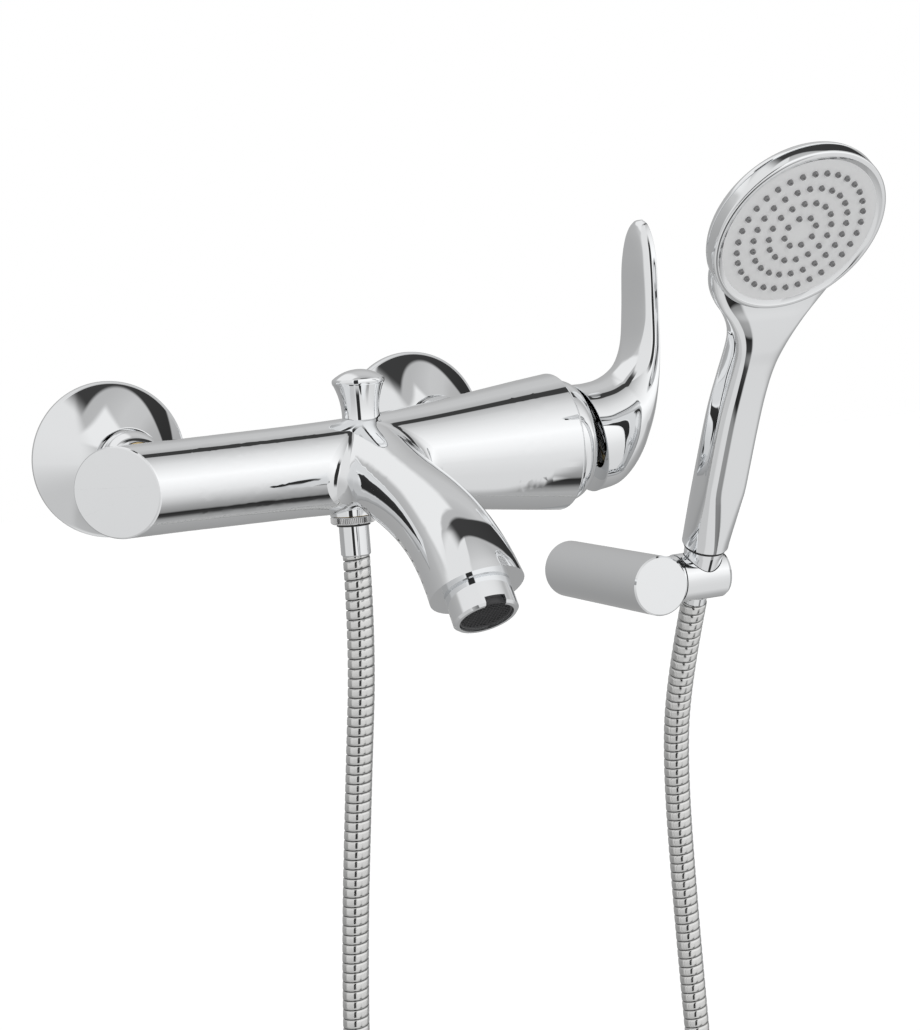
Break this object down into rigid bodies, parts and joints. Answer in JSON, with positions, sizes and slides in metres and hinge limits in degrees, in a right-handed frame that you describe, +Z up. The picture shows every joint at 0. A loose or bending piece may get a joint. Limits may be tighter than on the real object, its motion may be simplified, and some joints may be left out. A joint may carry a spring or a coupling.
{
  "type": "wall-mounted bath mixer with hand shower",
  "caption": "Wall-mounted bath mixer with a flared body, side lever, spout, lift diverter, wall holder, metal hose and round hand shower.",
  "frame": {"origin": "centre of the left wall inlet's thread on the wall face", "axes": "+X runs to the right along the wall towards the lever, +Y runs into the wall, +Z runs up"},
  "size_m": [0.3381, 0.2213, 0.6897],
  "materials": {
    "chromed_brass": "polished chrome plate on brass",
    "chromed_zinc": "polished chrome plate on die-cast zinc",
    "chromed_plastic": "bright chrome plate on plastic",
    "satin_plastic": "satin silver plate on plastic",
    "brass": "plain machined brass",
    "steel": "plain stainless steel",
    "hose_metal": "bright wound metal strip with fine ridges",
    "ceramic": "lapped ceramic",
    "white_plastic": "plain moulded plastic",
    "grey_plastic": "plain moulded plastic",
    "grey_rubber": "soft silicone rubber",
    "black_rubber": "plain rubber"
  },
  "bodies": {
    "mixer": {"body_casting": "chromed_brass", "union_left": "brass", "union_right": "brass", "escutcheon_left": "chromed_brass", "escutcheon_right": "chromed_brass", "union_nut_left": "chromed_brass", "union_nut_right": "chromed_brass", "inlet_tail_left": "brass", "inlet_tail_right": "brass", "inlet_washers": "black_rubber", "diverter_bush": "brass", "aerator_housing": "chromed_brass", "aerator_insert": "white_plastic", "aerator_seal": "black_rubber", "cartridge_housing": "white_plastic", "fixed_disc": "ceramic", "retaining_nut": "brass", "collar_ring": "chromed_brass", "outlet_nipple": "brass", "hose_ring": "chromed_brass", "outlet_washer": "black_rubber", "ferrule_low": "chromed_brass", "hose": "hose_metal", "holder_plate": "brass", "holder_tube": "chromed_brass", "holder_cap": "chromed_brass", "holder_grub": "steel"},
    "rotor": {"carrier": "white_plastic", "cross_pin": "steel"},
    "lever": {"lever_bar": "steel", "lever_handle": "chromed_zinc", "lever_grub": "steel", "lever_plug": "grey_plastic"},
    "disc": {"moving_disc": "ceramic"},
    "diverter": {"diverter_knob": "chromed_brass", "diverter_rod": "steel", "diverter_plug": "black_rubber"},
    "socket_body": {"socket": "chromed_brass", "pivot_bolt": "steel", "pivot_nut": "steel"},
    "handset": {"handset_body": "chromed_plastic", "head_rim": "chromed_plastic", "face_plate": "satin_plastic", "nozzle_mat": "grey_rubber", "seam_ring": "black_rubber", "handset_stem": "chromed_plastic", "cone_nut": "chromed_brass", "top_washer": "black_rubber", "ferrule_top": "brass", "hose_tail": "hose_metal"}
  },
  "joints": [
    {"name": "lever_turn", "type": "hinge", "parent": "mixer", "child": "rotor", "pos_m": [0.181, -0.057, -0.0006], "axis": [1, 0, 0], "range_deg": [-25, 45]},
    {"name": "lever_lift", "type": "hinge", "parent": "rotor", "child": "lever", "pos_m": [0.181, -0.057, -0.0006], "axis": [0, 1, 0], "range_deg": [0, 18]},
    {"name": "disc_slide", "type": "slide", "parent": "rotor", "child": "disc", "axis": [0, 0, 1], "range_m": [0, 0.003]},
    {"name": "diverter_lift", "type": "slide", "parent": "mixer", "child": "diverter", "axis": [0, 0, 1], "range_m": [0, 0.009]},
    {"name": "holder_tilt", "type": "hinge", "parent": "mixer", "child": "socket_body", "pos_m": [0.259, -0.077, -0.07], "axis": [1, 0, 0], "range_deg": [-25, 25]},
    {"name": "handset_pull", "type": "slide", "parent": "socket_body", "child": "handset", "axis": [0, -0.4384, 0.8988], "range_m": [0, 0.035]}
  ],
  "couplings": [
    {"joint": "disc_slide", "follows": "lever_lift", "m_per_rad": 0.008}
  ]
}
